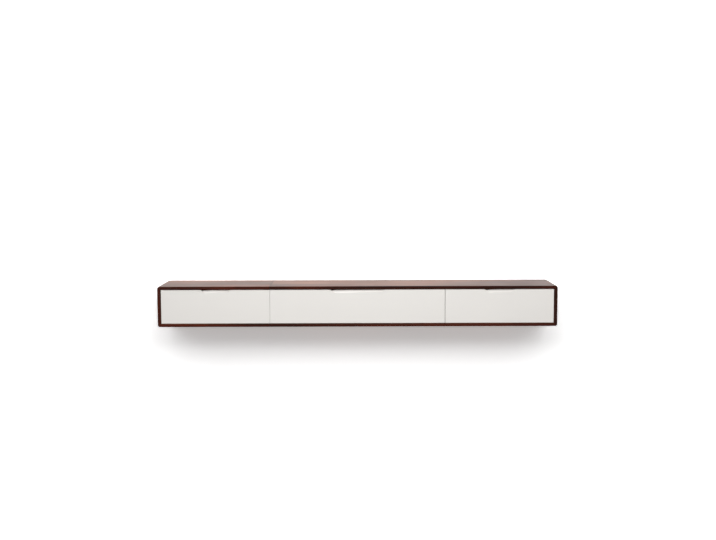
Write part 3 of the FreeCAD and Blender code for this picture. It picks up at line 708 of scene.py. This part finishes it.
def add_turned(shape, place, axis, rings, turn=0.0):
    """Adds a stack of rings, each an outline and a height in millimetres, that stands on a place."""
    ring = bmesh.ops.create_circle(shape, cap_ends=True, segments=RING_CORNERS, radius=1.0)
    corners = list(ring["verts"])
    cap = corners[0].link_faces[0]
    for number, (outline, height) in enumerate(rings):
        if number > 0:
            cap = bmesh.ops.extrude_discrete_faces(shape, faces=[cap])["faces"][0]
            corners += list(cap.verts)
        for corner in cap.verts:
            angle = math.atan2(corner.co.y, corner.co.x)
            reach = outline(angle) if callable(outline) else outline
            corner.co = (reach * math.cos(angle), reach * math.sin(angle), height)
    facing = Vector((0, 0, 1)).rotation_difference(Vector(axis)).to_matrix().to_4x4()
    spun = Matrix.Rotation(turn, 4, "Z") @ Matrix.Scale(MM, 4)
    bmesh.ops.transform(shape, matrix=Matrix.Translation(place) @ facing @ spun, verts=corners)


def hang_piece(shape, name, finish, body, sharp=30):
    """Closes a mesh, turns its faces outwards, smooths it up to an angle and lets it ride on a body."""
    bmesh.ops.holes_fill(shape, edges=shape.edges[:], sides=0)
    bmesh.ops.recalc_face_normals(shape, faces=shape.faces[:])
    data = bpy.data.meshes.new(name)
    shape.to_mesh(data)
    shape.free()
    data.shade_smooth()
    data.set_sharp_from_angle(angle=math.radians(sharp))
    data.materials.append(finish)
    piece = bpy.data.objects.new(name, data)
    bpy.context.scene.collection.objects.link(piece)
    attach(piece, body)
    return piece


print("a cross recess reaches", round(cross(2.0)(0.0), 2), "and", round(cross(2.0)(math.pi / 4), 2), "mm")

# %% [markdown]
# ## Screws
#
# A drawer front is held by pan-head screws through the box's front board, and each hanging rail by a row
# of them. The runners' inner members take smaller ones. The outer members' screws lie within the
# thickness of the sheet, because a ball cage runs past them. No two screws on a real cabinet stop at the
# same angle, so each gets its own turn from a seeded draw.

# %% Screws
HOLE_SETBACK, HOLE_PITCH = 35 * MM, 160 * MM
INNER_WEB = 11.5 * MM
RAIL_SHEET, RAIL_SCREW_DROP, RAIL_MARGIN = 3 * MM, 12 * MM, 60 * MM
FRONT_SCREW_MARGIN, FRONT_SCREW_LOW, FRONT_SCREW_HIGH = 90 * MM, 36 * MM, 26 * MM
PAN_RADIUS, RUNNER_PAN_RADIUS = 4.0, 3.5
PAN_DOME = ((1.0, 0.0), (1.0, 0.24), (0.87, 0.44), (0.68, 0.54))
PAN_RECESS = ((0.54, 0.57), (0.42, 0.25))
FLUSH_RADIUS, FLUSH_HEIGHT = 2.15, 0.9
FLUSH_MOUTH, FLUSH_FLOOR, FLUSH_FLOOR_HEIGHT = 1.4, 1.1, 0.3
FLUSH_HEAD = [(FLUSH_RADIUS, 0.0), (FLUSH_RADIUS, FLUSH_HEIGHT),
              (cross(FLUSH_MOUTH), FLUSH_HEIGHT), (cross(FLUSH_FLOOR), FLUSH_FLOOR_HEIGHT)]
FRONT_SCREW_COLUMNS = {"left": 2, "centre": 3, "right": 2}
HANGING_RAIL_SCREWS = {"left": 3, "right": 6}
TURN_SEED = 7
turns = random.Random(TURN_SEED)


def pan_head(radius):
    """The rings of a domed head with a cross recess, whose sizes are shares of its radius."""
    dome = [(reach * radius, rise * radius) for reach, rise in PAN_DOME]
    recess = [(cross(reach * radius), rise * radius) for reach, rise in PAN_RECESS]
    return dome + recess


def spread(start, end, count):
    """Evenly spaced places from start to end."""
    return [start + (end - start) * number / (count - 1) for number in range(count)]


def add_screws(name, places, axis, rings, body):
    """Makes one piece with a screw head at each place, and says how many there are."""
    shape = bmesh.new()
    for place in places:
        add_turned(shape, place, axis, rings, turns.uniform(0.0, math.pi / 2))
    hang_piece(shape, name, ZINC_PLATED_STEEL, body)
    return len(places)


screw_count = 0
for bay, columns in FRONT_SCREW_COLUMNS.items():
    low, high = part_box(f"{bay}_box_front")
    across = spread(low.x + FRONT_SCREW_MARGIN, high.x - FRONT_SCREW_MARGIN, columns)
    levels = (low.z + FRONT_SCREW_LOW, high.z - FRONT_SCREW_HIGH)
    places = [(x, high.y, z) for x in across for z in levels]
    screw_count += add_screws(f"{bay}_front_screws", places, (0, 1, 0), pan_head(PAN_RADIUS),
                              f"{bay}_drawer")
    for hand, sense in (("left", 1), ("right", -1)):
        low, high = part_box(f"{bay}_runner_outer_{hand}")
        bay_wall = low.x if hand == "left" else high.x
        level = (low.z + high.z) / 2
        stations = (low.y + HOLE_SETBACK, low.y + HOLE_SETBACK + HOLE_PITCH)
        places = [(bay_wall, y, level) for y in stations]
        screw_count += add_screws(f"{bay}_runner_wall_screws_{hand}", places, (sense, 0, 0),
                                  FLUSH_HEAD, "carcass")
        places = [(bay_wall + sense * INNER_WEB, y, level) for y in stations]
        screw_count += add_screws(f"{bay}_runner_drawer_screws_{hand}", places, (-sense, 0, 0),
                                  pan_head(RUNNER_PAN_RADIUS), f"{bay}_drawer")
for side, count in HANGING_RAIL_SCREWS.items():
    low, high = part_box(f"hanging_rail_{side}")
    across = spread(low.x + RAIL_MARGIN, high.x - RAIL_MARGIN, count)
    places = [(x, low.y + RAIL_SHEET, high.z - RAIL_SCREW_DROP) for x in across]
    screw_count += add_screws(f"hanging_rail_screws_{side}", places, (0, 1, 0), pan_head(PAN_RADIUS),
                              "carcass")
print("screws:", screw_count)

# %% [markdown]
# ## Sleeve bolts
#
# Two bolts clamp the modules' sides together. Each is a sleeve nut and a bolt that meet inside the
# boards, with wide flat heads and a hexagon recess in each. Their CAD solids are plain, so the piece
# made here stands for them.

# %% Sleeve bolts
BOLT_HEAD, BOLT_HEAD_THICKNESS, BOLT_SHANK = 7.0, 1.8, 3.0
BOLT_RIM, BOLT_CHAMFER = 1.3, 0.5
BOLT_MOUTH, BOLT_FLOOR, BOLT_FLOOR_HEIGHT = 2.5, 2.4, 0.4
low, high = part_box("module_bolts")
shape = bmesh.new()
bolt_level = (low.z + high.z) / 2
bolt_places = (low.y + BOLT_HEAD * MM, high.y - BOLT_HEAD * MM)
for y in bolt_places:
    faces = (low.x + BOLT_HEAD_THICKNESS * MM, high.x - BOLT_HEAD_THICKNESS * MM)
    for x, sense in zip(faces, (-1, 1)):
        add_turned(shape, (x, y, bolt_level), (sense, 0, 0),
                   [(BOLT_HEAD, 0.0), (BOLT_HEAD, BOLT_RIM),
                    (BOLT_HEAD - BOLT_CHAMFER, BOLT_HEAD_THICKNESS),
                    (hexagon(BOLT_MOUTH), BOLT_HEAD_THICKNESS),
                    (hexagon(BOLT_FLOOR), BOLT_FLOOR_HEIGHT)])
    add_turned(shape, (faces[0], y, bolt_level), (1, 0, 0),
               [(BOLT_SHANK, 0.0), (BOLT_SHANK, (faces[1] - faces[0]) / MM)])
bolts = hang_piece(shape, "sleeve_bolts", ZINC_PLATED_STEEL, "carcass")
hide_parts("module_bolts")
print("sleeve bolts at y", [round(y / MM) for y in bolt_places], "mm")

# %% [markdown]
# ## Runner balls and bumpers
#
# Hardened balls roll between a runner's outer and middle members, and between its middle and inner ones,
# in a row above and a row below. A cage spaces them, and travels midway between its two members. There
# are nearly two hundred balls, so each has only a few dozen faces and smooth shading. A soft bumper on
# each rear stop takes the knock of a closing drawer.

# %% Balls and bumpers
BALLS_IN_ROW = 8
ROWS_IN_TRACK = 4           # above and below, in the left and the right runner
BALL_SIDES, BALL_BANDS = 8, 6
FLANGE_MIDDLE, CAGE_SHEET = 3.4 * MM, 0.4 * MM
BALL_RADIUS = {"outer": 1.5 * MM, "inner": 1.25 * MM}
STOP_SHEET, BUMPER_THICKNESS = 1.2 * MM, 2.5 * MM
BUMPER_NEAR, BUMPER_FAR, BUMPER_HALF = 1.4 * MM, 9.0 * MM, 5.0 * MM
BUMPER_ROUND = 0.6 * MM


def add_balls(bay, track):
    """The balls of one track in both runners of a bay."""
    low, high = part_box(f"{bay}_ball_cages_{track}")
    middle = (low.z + high.z) / 2
    rise = (high.z - low.z - CAGE_SHEET) / 2
    pitch = (high.y - low.y) / BALLS_IN_ROW
    shape = bmesh.new()
    for x in (low.x + FLANGE_MIDDLE, high.x - FLANGE_MIDDLE):
        for z in (middle - rise, middle + rise):
            for number in range(BALLS_IN_ROW):
                centre = Matrix.Translation((x, low.y + (number + 0.5) * pitch, z))
                bmesh.ops.create_uvsphere(shape, u_segments=BALL_SIDES, v_segments=BALL_BANDS,
                                          radius=BALL_RADIUS[track], matrix=centre)
    hang_piece(shape, f"{bay}_balls_{track}", BEARING_STEEL, f"{bay}_{track}_cages",
               sharp=180)


def add_bumpers(bay):
    """A rounded block of soft plastic on the rear stop of each runner of a bay."""
    shape = bmesh.new()
    for hand, sense in (("left", 1), ("right", -1)):
        low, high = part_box(f"{bay}_runner_outer_{hand}")
        bay_wall = low.x if hand == "left" else high.x
        centre = (bay_wall + sense * (BUMPER_NEAR + BUMPER_FAR) / 2,
                  high.y - STOP_SHEET - BUMPER_THICKNESS / 2, (low.z + high.z) / 2)
        block = Matrix.Diagonal((BUMPER_FAR - BUMPER_NEAR, BUMPER_THICKNESS, 2 * BUMPER_HALF, 1))
        bmesh.ops.create_cube(shape, size=1.0, matrix=Matrix.Translation(centre) @ block)
    bmesh.ops.bevel(shape, geom=shape.edges[:], offset=BUMPER_ROUND, segments=3, profile=0.5,
                    affect="EDGES", material=-1)
    hang_piece(shape, f"{bay}_runner_bumpers", CLEAR_POLYURETHANE, "carcass",
               sharp=60)


for bay in BAYS:
    for track in BALL_RADIUS:
        add_balls(bay, track)
    add_bumpers(bay)
print("balls:", len(BAYS) * len(BALL_RADIUS) * ROWS_IN_TRACK * BALLS_IN_ROW)

# %% [markdown]
# ## The look
#
# The render shows colours through Blender's Standard view transform.

# %% Look
bpy.context.scene.view_settings.view_transform = "Standard"
